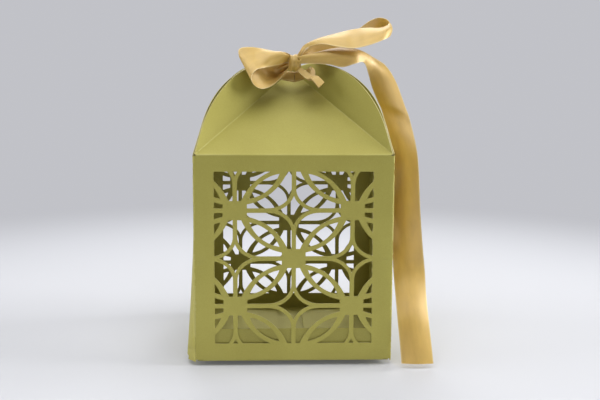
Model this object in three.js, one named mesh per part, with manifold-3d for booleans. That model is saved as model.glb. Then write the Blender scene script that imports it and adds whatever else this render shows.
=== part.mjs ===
// Laser-cut paper favour box with a lattice window in each wall, a four-petal lid and a satin bow.
// Millimetres, +Z up. The origin is the centre of the underside of the bottom; the front faces -Y.

import * as THREE from 'three';
import { mergeVertices } from 'three/addons/utils/BufferGeometryUtils.js';
import Module from 'manifold-3d';

const wasm = await Module();
wasm.setup();

// Driving dimensions of the card blank
const width = 60;             // outside width and depth of the square sleeve
const wallHeight = 63.5;      // floor to the crease that carries the lid
const card = 0.3;             // thickness of the card
const layerGap = 0.3;         // air between two layers of card that lie on each other
const cornerGap = 0.3;        // bare fold between two walls
const creaseGap = 0.25;       // bare fold on each side of the crease between wall and petal
const hipGap = 0.2;           // bare fold on each side of the crease between petal and wing
const footGap = 0.3;          // bare fold at the bottom creases

// Driving dimensions of the window and its lattice
const windowSide = 6.2;       // plain margin left and right of the window
const windowTop = 5.0;        // plain margin above it
const windowFoot = 5.8;       // plain margin below it
const pitchX = 17.6;          // from a rosette to the next diamond, sideways
const pitchZ = 14.65;         // from a rosette to the next diamond, upwards
const barWidth = 1.35;        // straight bars between rosettes and diamonds
const strapWidth = 1.3;       // curved bands on both sides of a lens
const lensHalfWidth = 1.6;    // half the width of the opening inside a lens
const lensStart = 5.6;        // from the middle of a rosette to the point of a lens opening
const rosetteX = 3.6;         // half the width of the plain middle of a rosette
const rosetteZ = 2.9;         // half its height
const bluntEnd = 1.2;         // width of a crescent opening where it meets a rosette
const cornerX = 7.0;          // reach of the round corner of a crescent opening, sideways
const cornerZ = 6.0;          // and upwards
const diamondBand = 1.1;      // band between a crescent and the diamond it goes round
const arcPieces = 4;          // straight pieces in one arc of the lattice

// Driving dimensions of the lid
const petalStraight = 8.7;    // straight part of a petal's sides, below its round top
const petalTrim = 0.25;       // petals are cut this much narrower than the wall
const tipTrim = 1.2;          // flat cut at the point of each wing
const petalPieces = 14;       // straight pieces in the round edge of one wing
const holeRadius = 2.0;       // ribbon hole in each wing
const holeFromTip = 8.0;      // from the point of the lid to the hole, along the crease
const holeFromCrease = 3.5;   // from the crease to the middle of the hole
const holePieces = 14;

// Driving dimensions of the bottom and the glue tab
const tongueHeight = 10;
const tongueInset = 2.5;      // tongue is this much narrower than the sleeve, each side
const tongueCorner = 4;       // round of its two free corners
const bottomSideGap = 0.5;    // between the bottom panel and the side walls
const flapReach = 25;         // length of a dust flap from its crease
const flapInset = 3;          // from the front and back walls to a dust flap at its crease
const flapTaper = 3;          // each end of a dust flap runs in by this much
const tabWidth = 5.2;         // glue tab inside the left wall
const tabEnd = 6;             // from the floor, and from the lid crease, to the tab
const tabTaper = 3;

// Driving dimensions of the ribbon
const ribbonThickness = 0.2;
const neckClearance = 0.7;    // above and below the gathered ribbon that runs through the holes
const neckThickness = 1.1;
const neckBow = 1.9;          // it bows out this far between two holes
const neckTurnX = 2.3;        // from a front hole, inwards, to where it turns forwards to the knot
const neckTurnY = 2.2;        // and forwards
const neckEndHeight = 1.2;    // height of its two ends, under the knot
const neckSpread = 1.2;       // from the middle of the knot to each end
const neckBehind = 0.5;       // and back from it
const knotLength = 3.5;
const knotRadius = 2.1;
const knotEnd = 1.7;          // radius of its two ends
const knotX = 0.65;           // middle of the knot, from the point of the lid
const knotY = -11.1;
const knotZ = 2.2;
const knotPieces = 16;
const stripPieces = 3;        // stations between two points of a ribbon's route
const tailSideGap = 1.1;      // from the right wall to the near edge of the long tail
const ribbonWidth = 10;

// Values that follow
const half = width / 2;
const inner = half - card;
const petalHeight = petalStraight + half;
const slope = Math.acos(half / petalHeight);
const lidRise = half * Math.tan(slope);
const lidTop = wallHeight + lidRise;
const hipLength = Math.hypot(half, petalHeight);
const hipRun = half / hipLength;
const hipRise = petalHeight / hipLength;
const wingFold = Math.acos(Math.sin(slope) / Math.SQRT2);
const flapLevel = card + layerGap;
const windowWidth = width - 2 * windowSide;
const windowHeight = wallHeight - windowTop - windowFoot;
const windowMiddle = windowFoot + windowHeight / 2;

const cardLook = { roughness: 0.5, metalness: 0.3 };
const satinLook = { roughness: 0.35, metalness: 0.2 };
const cardMaterial = (color) => new THREE.MeshStandardMaterial({ color, ...cardLook });
const satinMaterial = (color) => new THREE.MeshStandardMaterial({ color, ...satinLook });
const wallColor = 0xa39a52;
const petalColor = 0xb5ac55;
const wingColor = 0xaaa050;
const insideColor = 0x8f8748;
const ribbonColor = 0xd8b46a;

// A flat plate: an outline in X and Y, from `low` up to `low + thickness` in Z.
function plate(outline, low, thickness, holes = []) {
  const shape = new THREE.Shape(outline);
  shape.holes = holes.map((hole) => new THREE.Path(hole));
  const geometry = new THREE.ExtrudeGeometry(shape, { depth: thickness, bevelEnabled: false });
  geometry.translate(0, 0, low);
  return geometry;
}

function rectangle(x0, y0, x1, y1) {
  return [[x0, y0], [x1, y0], [x1, y1], [x0, y1]].map(([x, y]) => new THREE.Vector2(x, y));
}

function toSolid(geometry) {
  const bare = geometry.clone();
  bare.deleteAttribute('normal');
  bare.deleteAttribute('uv');
  const merged = mergeVertices(bare);
  const vertProperties = new Float32Array(merged.attributes.position.array);
  const triVerts = new Uint32Array(merged.index.array);
  return new wasm.Manifold(new wasm.Mesh({ numProp: 3, vertProperties, triVerts }));
}

function fromSolid(solid) {
  const mesh = solid.getMesh();
  const geometry = new THREE.BufferGeometry();
  geometry.setAttribute('position', new THREE.BufferAttribute(mesh.vertProperties, 3));
  geometry.setIndex(new THREE.BufferAttribute(mesh.triVerts, 1));
  geometry.computeVertexNormals();
  return geometry;
}

// An arc from start to end whose middle stands `rise` to the left of the straight line between them.
function arc(start, end, rise) {
  const chord = end.clone().sub(start);
  const reach = chord.length();
  const left = new THREE.Vector2(-chord.y, chord.x).normalize();
  const radius = (reach * reach / 4 + rise * rise) / (2 * rise);
  const middle = start.clone().add(end).multiplyScalar(0.5);
  const centre = middle.addScaledVector(left, rise - radius);
  const sweep = 2 * Math.asin(reach / 2 / radius);
  const from = start.clone().sub(centre).angle();
  return Array.from({ length: arcPieces + 1 }, (_, i) => {
    const angle = from - sweep * i / arcPieces;
    const spoke = new THREE.Vector2(Math.cos(angle), Math.sin(angle));
    return spoke.multiplyScalar(Math.abs(radius)).add(centre);
  });
}

// One lattice cell has a rosette at (0, 0) and at (pitchX, pitchZ), a diamond at the other two corners,
// a lens between the rosettes and a crescent on each side of it.
const cellDiagonal = Math.hypot(pitchX, pitchZ);
const cornerCentre = new THREE.Vector2(pitchX - barWidth / 2 - cornerX, barWidth / 2 + cornerZ);

function fromDiagonal(point) {
  return (point.x * pitchZ - point.y * pitchX) / cellDiagonal;
}

// A point of an ellipse round the corner centre, by its angle from straight down towards the diamond.
function onEllipse(reachX, reachZ, angle) {
  const spoke = new THREE.Vector2(reachX * Math.sin(angle), -reachZ * Math.cos(angle));
  return spoke.add(cornerCentre);
}

function lensOpening() {
  const low = new THREE.Vector2(pitchX, pitchZ).multiplyScalar(lensStart / cellDiagonal);
  const high = new THREE.Vector2(pitchX, pitchZ).sub(low);
  return [...arc(low, high, lensHalfWidth).slice(0, -1), ...arc(high, low, lensHalfWidth).slice(0, -1)];
}

function crescentOpening() {
  const foot = new THREE.Vector2(rosetteX, barWidth / 2);
  const footInner = new THREE.Vector2(rosetteX, barWidth / 2 + bluntEnd);
  const head = new THREE.Vector2(pitchX - barWidth / 2, pitchZ - rosetteZ);
  const headInner = new THREE.Vector2(pitchX - barWidth / 2 - bluntEnd, pitchZ - rosetteZ);
  const corner = Array.from({ length: arcPieces + 1 }, (_, i) => {
    const angle = Math.PI / 2 * i / arcPieces;
    return onEllipse(cornerX, cornerZ, angle);
  });
  const ends = (fromDiagonal(footInner) + fromDiagonal(headInner)) / 2;
  const rise = lensHalfWidth + strapWidth - ends;
  const lensSide = arc(footInner, headInner, -rise).reverse();
  return [foot, ...corner, head, ...lensSide];
}

// The diamond's four hollow sides run beside the corners of the crescents round it.
function diamondOpening() {
  const reachX = cornerX + diamondBand;
  const reachZ = cornerZ + diamondBand;
  const from = Math.acos(cornerCentre.y / reachZ);
  const to = Math.asin((pitchX - cornerCentre.x) / reachX);
  const side = Array.from({ length: arcPieces }, (_, i) => {
    const angle = from + (to - from) * i / (arcPieces - 1);
    return onEllipse(reachX, reachZ, angle).sub(new THREE.Vector2(pitchX, 0));
  });
  const turned = (x, y, points) => points.map((p) => new THREE.Vector2(x * p.x, y * p.y));
  const last = side.length - 1;
  return [
    ...side.slice(0, last), ...turned(-1, 1, side).reverse().slice(0, last),
    ...turned(-1, -1, side).slice(0, last), ...turned(1, -1, side).reverse().slice(0, last),
  ];
}

// Everything that the laser takes out of one wall, as one solid clipped by the window.
function windowCutter() {
  const depth = 4 * card;
  const openings = [];
  const columns = Math.ceil(windowWidth / 2 / pitchX);
  const rows = Math.ceil(windowHeight / 2 / pitchZ);
  const crescent = crescentOpening();
  const diamond = diamondOpening();
  const opposite = crescent.map((p) => new THREE.Vector2(pitchX - p.x, pitchZ - p.y));
  const cellOpenings = [lensOpening(), crescent, opposite];
  for (let i = -columns; i < columns; i += 1) {
    for (let j = -rows; j < rows; j += 1) {
      const mirrored = (i + j) % 2 !== 0;
      for (const opening of cellOpenings) {
        openings.push(opening.map((p) => {
          const x = mirrored ? pitchX - p.x : p.x;
          return new THREE.Vector2(x + i * pitchX, p.y + j * pitchZ);
        }));
      }
    }
  }
  for (let i = -columns; i <= columns; i += 1) {
    for (let j = -rows; j <= rows; j += 1) {
      if ((i + j) % 2 !== 0) {
        openings.push(diamond.map((p) => new THREE.Vector2(p.x + i * pitchX, p.y + j * pitchZ)));
      }
    }
  }
  const prisms = openings.map((outline) => toSolid(plate(outline, -depth / 2, depth)));
  const frame = rectangle(-windowWidth / 2, -windowHeight / 2, windowWidth / 2, windowHeight / 2);
  const all = prisms.reduce((sum, prism) => sum.add(prism));
  return all.intersect(toSolid(plate(frame, -depth, 2 * depth))).translate([0, windowMiddle, 0]);
}

const group = new THREE.Group();
const cutter = windowCutter();

function add(parent, name, geometry, material) {
  const mesh = new THREE.Mesh(geometry, material);
  mesh.name = name;
  parent.add(mesh);
  return mesh;
}

// A wall, drawn flat with its outer face at Z = 0 and stood up in its own side of the sleeve.
function wall(side, name, foot) {
  const reach = inner - cornerGap;
  const sheet = toSolid(plate(rectangle(-reach, foot, reach, wallHeight - creaseGap), -card, card));
  const mesh = add(side, name, fromSolid(sheet.subtract(cutter)), cardMaterial(wallColor));
  mesh.position.set(0, -half, 0);
  mesh.rotation.x = Math.PI / 2;
}

// The hip crease lies in the outer faces of petal and wing, beside the diagonal of the lid. It starts
// hipLag short of the corner, so that two wings stand back to back with the layer gap between them.
const finDepth = layerGap / 2 + card;
const hipStart = half - (card / 2) * (1 - Math.sin(slope)) - finDepth * Math.SQRT2;
const hipLag = half - hipStart;

function petalOutline() {
  const edge = hipStart - hipGap / hipRise;
  const foot = edge - creaseGap * half / petalHeight;
  return [
    new THREE.Vector2(-foot, creaseGap), new THREE.Vector2(foot, creaseGap),
    new THREE.Vector2(0, edge * petalHeight / half),
  ];
}

// A point of the flat petal, in a wing's own axes: along the hip crease from the corner, and out from it.
function wingPoint(across, up) {
  const out = across - half;
  return new THREE.Vector2(-out * hipRun + up * hipRise, out * hipRise + up * hipRun);
}

function wingOutline() {
  const radius = half - petalTrim;
  const low = (hipGap + petalTrim * hipRise) / hipRun;
  const last = Math.acos(tipTrim / radius);
  const round = Array.from({ length: petalPieces + 1 }, (_, i) => {
    const angle = last * i / petalPieces;
    return wingPoint(radius * Math.cos(angle), petalStraight + radius * Math.sin(angle));
  });
  const tip = round[petalPieces];
  return [wingPoint(radius, low), ...round, new THREE.Vector2(tip.x, hipGap)];
}

function ribbonHole() {
  return Array.from({ length: holePieces }, (_, i) => {
    const angle = 2 * Math.PI * i / holePieces;
    return new THREE.Vector2(
      hipLength - holeFromTip + holeRadius * Math.cos(angle),
      holeFromCrease + holeRadius * Math.sin(angle),
    );
  });
}

// One of the four lid petals: the sloping middle and the two wings that stand up beside it.
function petal(side, name) {
  const hinge = new THREE.Group();
  hinge.position.set(0, -half + card / 2, wallHeight);
  hinge.rotation.x = slope;
  side.add(hinge);
  add(hinge, `${name}_petal`, plate(petalOutline(), -card / 2, card), cardMaterial(petalColor));
  for (const [hand, turn] of [['left', 1], ['right', -1]]) {
    const crease = new THREE.Group();
    const across = hipStart + hipLag * hipRun * hipRun;
    crease.position.set(-turn * across, -hipLag * hipRun * hipRise, card / 2);
    crease.rotation.z = turn * Math.atan2(hipRise, hipRun);
    hinge.add(crease);
    const handed = (points) => points.map((p) => new THREE.Vector2(turn * p.x, p.y));
    const geometry = plate(handed(wingOutline()), -card, card, [handed(ribbonHole())]);
    add(crease, `${name}_petal_${hand}_wing`, geometry, cardMaterial(wingColor)).rotation.x = wingFold;
  }
}

// The glue tab folds back from the front wall's left edge and lies inside the left wall.
function glueTab(side) {
  const near = inner - layerGap;
  const far = near - tabWidth;
  const outline = [
    new THREE.Vector2(near, tabEnd), new THREE.Vector2(near, wallHeight - tabEnd),
    new THREE.Vector2(far, wallHeight - tabEnd - tabTaper), new THREE.Vector2(far, tabEnd + tabTaper),
  ];
  const mesh = add(side, 'glue_tab', plate(outline, 0, card), cardMaterial(insideColor));
  mesh.position.set(0, card - near, 0);
  mesh.rotation.x = Math.PI / 2;
}

// The sleeve: four walls and their petals, turned round the middle of the box.
const sideFoot = flapLevel + card + footGap;
const footLevels = { front: 0, right: sideFoot, back: card + footGap, left: sideFoot };
Object.entries(footLevels).forEach(([name, foot], quarter) => {
  const side = new THREE.Group();
  side.rotation.z = quarter * Math.PI / 2;
  group.add(side);
  wall(side, `${name}_panel`, foot);
  petal(side, name);
  if (name === 'left') {
    glueTab(side);
  }
});

// The bottom panel hangs on the back wall's bottom crease; its tongue tucks in behind the front wall.
const tongueFace = inner - layerGap - card;
function bottomPanel() {
  const reach = inner - bottomSideGap;
  const outline = rectangle(-reach, -tongueFace + footGap, reach, inner - footGap);
  add(group, 'bottom_panel', plate(outline, 0, card), cardMaterial(insideColor));
}

function tuckTongue() {
  const reach = half - tongueInset;
  const low = card + footGap;
  const high = card + tongueHeight;
  const shape = [new THREE.Vector2(-reach, low), new THREE.Vector2(reach, low)];
  for (const [middle, start] of [[reach - tongueCorner, 0], [-reach + tongueCorner, Math.PI / 2]]) {
    for (let i = 0; i <= arcPieces; i += 1) {
      const angle = start + Math.PI / 2 * i / arcPieces;
      const x = middle + tongueCorner * Math.cos(angle);
      shape.push(new THREE.Vector2(x, high - tongueCorner + tongueCorner * Math.sin(angle)));
    }
  }
  const mesh = add(group, 'tuck_tongue', plate(shape, 0, card), cardMaterial(insideColor));
  mesh.rotation.x = Math.PI / 2;
  mesh.position.set(0, -tongueFace, 0);
}

// Dust flaps hang on the side walls and lie on the bottom panel, inside the box.
function dustFlap(name, hand) {
  const crease = inner - footGap;
  const reach = half - flapInset;
  const outline = [
    new THREE.Vector2(-crease, -reach), new THREE.Vector2(-crease + flapReach, -reach + flapTaper),
    new THREE.Vector2(-crease + flapReach, reach - flapTaper), new THREE.Vector2(-crease, reach),
  ];
  const turned = outline.map((p) => new THREE.Vector2(hand * p.x, hand * p.y));
  add(group, name, plate(turned, flapLevel, card), cardMaterial(insideColor));
}
bottomPanel();
tuckTongue();
dustFlap('left_dust_flap', 1);
dustFlap('right_dust_flap', -1);

// A strip of ribbon between two edges, each a smooth curve through its points, with a square-cut section.
function strip(nearPoints, farPoints, thickness) {
  const near = new THREE.CatmullRomCurve3(nearPoints, false, 'catmullrom');
  const far = new THREE.CatmullRomCurve3(farPoints, false, 'catmullrom');
  const count = stripPieces * (nearPoints.length - 1);
  const positions = [];
  for (let i = 0; i <= count; i += 1) {
    const a = near.getPoint(i / count);
    const b = far.getPoint(i / count);
    const along = near.getTangent(i / count).add(far.getTangent(i / count));
    const face = along.cross(b.clone().sub(a)).normalize().multiplyScalar(thickness / 2);
    const corners = [a.clone().add(face), b.clone().add(face), b.clone().sub(face), a.clone().sub(face)];
    corners.forEach((corner) => positions.push(corner.x, corner.y, corner.z));
  }
  // Each station has four corners: near and far on one face, then far and near on the other. Both faces
  // of the ribbon are split along the same diagonal, so that they stay parallel where it twists.
  const faces = [0, 1, 2, 0, 2, 3];
  for (let i = 0; i < count; i += 1) {
    const [nearUp, farUp, farDown, nearDown] = [0, 1, 2, 3].map((corner) => 4 * i + corner);
    faces.push(nearUp, nearUp + 4, farUp + 4, nearUp, farUp + 4, farUp);
    faces.push(farUp, farUp + 4, farDown + 4, farUp, farDown + 4, farDown);
    faces.push(farDown, farDown + 4, nearDown, farDown + 4, nearDown + 4, nearDown);
    faces.push(nearDown, nearDown + 4, nearUp + 4, nearDown, nearUp + 4, nearUp);
  }
  const end = 4 * count;
  faces.push(end, end + 2, end + 1, end, end + 3, end + 2);
  const geometry = new THREE.BufferGeometry();
  geometry.setAttribute('position', new THREE.Float32BufferAttribute(positions, 3));
  geometry.setIndex(faces);
  geometry.computeVertexNormals();
  return geometry;
}

// Points of the bow are measured from the point of the lid.
const fromLid = (points) => points.map(([x, y, z]) => new THREE.Vector3(x, y, lidTop + z));
const bow = new THREE.Group();
group.add(bow);

// The knot, a short wrap of ribbon round the waist of the bow, and its place.
function knot() {
  const profile = [
    new THREE.Vector2(0, -knotLength / 2), new THREE.Vector2(knotEnd, -knotLength / 2),
    new THREE.Vector2(knotRadius, -knotLength / 4), new THREE.Vector2(knotRadius, knotLength / 4),
    new THREE.Vector2(knotEnd, knotLength / 2), new THREE.Vector2(0, knotLength / 2),
  ];
  const geometry = new THREE.LatheGeometry(profile, knotPieces);
  const mesh = add(bow, 'ribbon_knot', geometry, satinMaterial(ribbonColor));
  mesh.rotation.z = Math.PI / 2;
  mesh.position.copy(fromLid([[knotX, knotY, knotZ]])[0]);
}
knot();

// The gathered ribbon runs from the knot through the four pairs of holes and back to the knot.
function neckBand() {
  const drop = holeFromTip * lidRise / hipLength;
  const climb = holeFromCrease * half * Math.SQRT2 / hipLength;
  const level = climb - drop;
  const hole = (holeFromTip * half + holeFromCrease * lidRise / Math.SQRT2) / hipLength;
  const reach = hole + neckBow;
  const underKnot = knotZ - knotRadius - layerGap - neckEndHeight / 2;
  const besideFin = (level + underKnot) / 2;
  const turnX = hole - neckTurnX;
  const turnY = -hole - neckTurnY;
  const height = 2 * (holeRadius - neckClearance);
  const route = [
    [knotX - neckSpread, knotY + neckBehind, underKnot, neckEndHeight], [-turnX, turnY, besideFin, height],
    [-hole, -hole, level, height], [-reach, -hole / 2, level, height], [-reach, hole / 2, level, height],
    [-hole, hole, level, height], [-hole / 2, reach, level, height], [hole / 2, reach, level, height],
    [hole, hole, level, height], [reach, hole / 2, level, height], [reach, -hole / 2, level, height],
    [hole, -hole, level, height], [turnX, turnY, besideFin, height],
    [knotX + neckSpread, knotY + neckBehind, underKnot, neckEndHeight],
  ];
  const lower = fromLid(route.map(([x, y, z, tall]) => [x, y, z - tall / 2]));
  const upper = fromLid(route.map(([x, y, z, tall]) => [x, y, z + tall / 2]));
  add(bow, 'ribbon_neck_band', strip(lower, upper, neckThickness), satinMaterial(ribbonColor));
}
neckBand();

// The left loop leaves the knot, turns in front of the left front fin and comes back below.
const leftLoopFront = [
  [-1.5, -11.9, 2.4], [-4.5, -13.9, 1.6], [-8.2, -16.8, 0.9], [-11.1, -19.2, 0.2], [-12.6, -20.3, -1.9],
  [-12.0, -20.0, -4.2], [-9.5, -17.6, -5.6], [-6.4, -15.0, -4.7], [-3.6, -12.9, -2.3], [-1.6, -11.6, -0.2],
];
const leftLoopBack = [
  [-1.5, -10.0, 4.2], [-4.5, -10.6, 5.3], [-8.8, -12.2, 6.4], [-13.1, -13.8, 7.0], [-16.4, -15.6, 6.4],
  [-16.2, -17.0, 3.7], [-14.0, -16.6, 1.2], [-10.4, -13.8, 0.2], [-6.1, -11.6, 0.7], [-1.6, -10.2, 1.0],
];
const leftLoop = strip(fromLid(leftLoopFront), fromLid(leftLoopBack), ribbonThickness);
add(bow, 'ribbon_left_loop', leftLoop, satinMaterial(ribbonColor));

// The right loop stands up from the knot above the right front fin.
const rightLoopTop = [
  [2.8, -10.2, 5.0], [4.1, -9.4, 7.4], [8.9, -8.8, 9.6], [14.0, -8.4, 11.2],
  [18.5, -8.0, 12.3], [23.1, -7.8, 13.1], [27.5, -7.4, 13.1], [30.2, -6.4, 13.9],
  [31.0, -4.9, 15.1], [29.9, -3.4, 16.1], [27.4, -2.6, 16.5], [24.0, -2.8, 15.3],
  [18.6, -3.6, 12.9], [12.7, -5.0, 10.0], [7.2, -6.8, 6.8], [3.2, -8.8, 4.0],
];
const rightLoopFoot = [
  [2.8, -12.3, 3.9], [4.7, -13.8, 5.6], [8.9, -15.2, 7.6], [13.7, -16.2, 7.5],
  [18.6, -16.0, 6.9], [23.5, -15.4, 8.1], [27.4, -14.0, 9.5], [30.4, -10.6, 10.4],
  [31.2, -5.5, 10.9], [30.3, -0.5, 10.6], [27.6, 2.2, 9.9], [23.8, 2.6, 8.6],
  [18.4, 0.6, 7.3], [12.6, -2.4, 6.2], [7.0, -6.0, 4.3], [3.1, -9.2, 2.3],
];
const rightLoop = strip(fromLid(rightLoopTop), fromLid(rightLoopFoot), ribbonThickness);
add(bow, 'ribbon_right_loop', rightLoop, satinMaterial(ribbonColor));

// The long tail passes over the right front fin, turns down outside the right wall and ends on the floor.
const tailOverFar = [
  [2.9, -11.7, 3.1], [6.0, -12.6, 4.7], [10.6, -12.4, 6.1], [15.6, -11.6, 6.8], [19.8, -10.2, 6.3],
  [23.5, -8.6, 4.3], [26.5, -8.4, 3.1], [29.2, -9.5, 1.2], [32.4, -11.0, -3.1], [35.1, -13.0, -10.9],
  [36.4, -14.5, -15.5],
];
const tailOverNear = [
  [2.9, -13.0, 1.9], [6.5, -15.0, 3.0], [11.0, -16.6, 3.1], [14.9, -17.4, 2.1], [18.8, -14.8, 2.6],
  [21.8, -10.7, 3.1], [22.4, -8.7, 1.6], [23.4, -8.0, -0.2], [25.7, -8.0, -6.4], [26.9, -8.2, -9.6],
  [28.5, -8.6, -13.5],
];

// Beside the wall each station has its gap to the wall in ribbon widths, its distance from the middle
// in halves of the box, its share of the wall height, and the turn of the ribbon in radians.
const tailDown = [
  { gap: 0.01, ahead: 0.433, share: 0.98, turn: 0.42 }, { gap: 0, ahead: 0.717, share: 0.715, turn: 0.4 },
  { gap: 0, ahead: 0.9, share: 0.51, turn: 0.2 }, { gap: 0.03, ahead: 1.013, share: 0.305, turn: 0.08 },
  { gap: 0.09, ahead: 1.073, share: 0.145, turn: 0.06 },
  { gap: 0.14, ahead: 1.103, share: 0.002, turn: 0.04 },
];
const tailNearDown = tailDown.map(({ gap, ahead, share }) => (
  new THREE.Vector3(half + tailSideGap + gap * ribbonWidth, -half * ahead, wallHeight * share)));
const tailFarDown = tailDown.map(({ turn }, i) => {
  const across = new THREE.Vector3(ribbonWidth * Math.cos(turn), -ribbonWidth * Math.sin(turn), 0);
  return across.add(tailNearDown[i]);
});
const tailFar = [...fromLid(tailOverFar), ...tailFarDown];
const tailNear = [...fromLid(tailOverNear), ...tailNearDown];
add(bow, 'ribbon_long_tail', strip(tailFar, tailNear, ribbonThickness), satinMaterial(ribbonColor));

// The short tail is folded narrow and points down over the right front fin.
const shortFar = [
  [2.9, -12.8, 0.4], [4.3, -13.6, -0.5], [5.9, -14.4, -1.7], [7.7, -15.2, -2.0], [9.5, -16.2, -3.8],
];
const shortNear = [
  [2.1, -13.0, -0.8], [3.2, -13.9, -1.9], [4.7, -14.8, -2.9], [5.8, -15.8, -2.9], [7.8, -16.8, -5.3],
];
const shortTail = strip(fromLid(shortFar), fromLid(shortNear), ribbonThickness);
add(bow, 'ribbon_short_tail', shortTail, satinMaterial(ribbonColor));

export default group;
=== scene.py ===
import bpy
import numpy as np
from mathutils import Matrix, Vector
from mathutils.geometry import delaunay_2d_cdt


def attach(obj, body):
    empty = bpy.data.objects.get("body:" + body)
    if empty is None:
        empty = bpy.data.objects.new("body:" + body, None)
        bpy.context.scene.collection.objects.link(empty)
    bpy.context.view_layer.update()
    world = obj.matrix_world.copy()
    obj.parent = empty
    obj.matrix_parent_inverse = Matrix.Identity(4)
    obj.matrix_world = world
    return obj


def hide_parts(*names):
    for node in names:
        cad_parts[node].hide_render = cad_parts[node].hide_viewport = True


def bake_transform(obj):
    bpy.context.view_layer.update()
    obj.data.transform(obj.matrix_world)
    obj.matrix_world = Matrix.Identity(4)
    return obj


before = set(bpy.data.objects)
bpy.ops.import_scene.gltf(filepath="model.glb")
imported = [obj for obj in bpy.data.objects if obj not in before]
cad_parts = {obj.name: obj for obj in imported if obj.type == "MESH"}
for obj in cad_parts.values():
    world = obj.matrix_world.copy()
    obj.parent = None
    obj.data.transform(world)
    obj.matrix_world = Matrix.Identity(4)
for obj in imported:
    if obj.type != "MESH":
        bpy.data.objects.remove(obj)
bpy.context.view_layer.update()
MM = 0.001

# The view: a short telephoto lens a hand's breadth above the table, a little left of the box's middle.
# It stands level, turned slightly to the right and tilted down on the lid.
VIEW_FROM = (-8.36, -305.86, 94.14)
VIEW_TURN = np.radians(2.11)
VIEW_DOWN = np.radians(9.08)
VIEW_ROLL = np.radians(0.26)
VIEW_LENS = 56.34
FILM_WIDTH = 36
NEAREST = 0.01              # metres: nothing closer to the lens is drawn

level_way = np.cos(VIEW_DOWN)
ahead = Vector((np.sin(VIEW_TURN) * level_way, np.cos(VIEW_TURN) * level_way, -np.sin(VIEW_DOWN)))
level = Vector((np.cos(VIEW_TURN), -np.sin(VIEW_TURN), 0))
upright = level.cross(ahead)
to_right = level * np.cos(VIEW_ROLL) + upright * np.sin(VIEW_ROLL)
to_top = upright * np.cos(VIEW_ROLL) - level * np.sin(VIEW_ROLL)
lens = bpy.data.cameras.new("view")
lens.lens = VIEW_LENS
lens.sensor_width = FILM_WIDTH
lens.clip_start = NEAREST
camera = bpy.data.objects.new("view", lens)
camera.matrix_world = Matrix((to_right, to_top, -ahead)).transposed().to_4x4()
camera.location = Vector(VIEW_FROM) * MM
bpy.context.scene.collection.objects.link(camera)
bpy.context.scene.camera = camera

# The four walls of the sleeve: 0.3 mm pearl card, each with a window whose lattice the laser leaves
# standing. The card is folded round the four corners, so each wall here ends halfway round its folds.
CARD = 0.3
HALF = 30.0                 # half the width and depth of the sleeve
WALL_TOP = 63.25            # where the lid crease begins
LID_CREASE = 63.5
CORNER = 0.5                # radius of a corner fold, outside
FLAT = HALF - CORNER
WINDOW = (23.8, 5.8, 58.5)  # half width, foot and top
PITCH = np.array([17.6, 14.65])
BAR = 1.35                  # straight bars
STRAP = 1.3                 # curved bands beside a lens
LENS_HALF = 1.6
LENS_START = 5.6
ROSETTE = np.array([3.6, 2.9])
BLUNT = 1.2                 # where a crescent meets a rosette
ROUND = np.array([7.0, 6.0])
DIAMOND_BAND = 1.1
ARC = 12                    # pieces in one arc of the lattice
CUSHION = [-0.12, 0.25, 0.2, 0.15]  # how far the front, right, back and left wall stand out in the middle
SEAM_OUT = 2.9              # the left wall's swelling at its foot,
SEAM_TOP = 46.0             # the height where it ends,
SEAM_CURVE = 1.3            # how sharply it grows downwards,
SEAM_WIDE = 6.5             # and how far from the front corner it is fullest
CARD_COLOUR = (0.395, 0.355, 0.075)
CARD_SHADE = (0.358, 0.318, 0.063)
CUT_COLOUR = (0.47, 0.41, 0.15)
# a painted highlight along the folds and round corners, lighter than the card
FOLD_HIGHLIGHT_COLOUR = (0.46, 0.42, 0.13)
FLECK = 0.2                 # how strongly the mica lights up
GRAIN_DEEP = 0.012          # height of the paper's fibres


def arc(start, end, rise):
    """Points of the circle through start and end whose middle stands `rise` to the left of the chord."""
    chord = end - start
    reach = np.hypot(*chord)
    left = np.array([-chord[1], chord[0]]) / reach
    radius = (reach**2 / 4 + rise**2) / (2 * rise)
    centre = (start + end) / 2 + left * (rise - radius)
    first = np.arctan2(*(start - centre)[::-1])
    angle = first - 2 * np.arcsin(reach / 2 / radius) * np.linspace(0, 1, ARC + 1)
    return centre + abs(radius) * np.stack([np.cos(angle), np.sin(angle)], axis=1)


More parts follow.
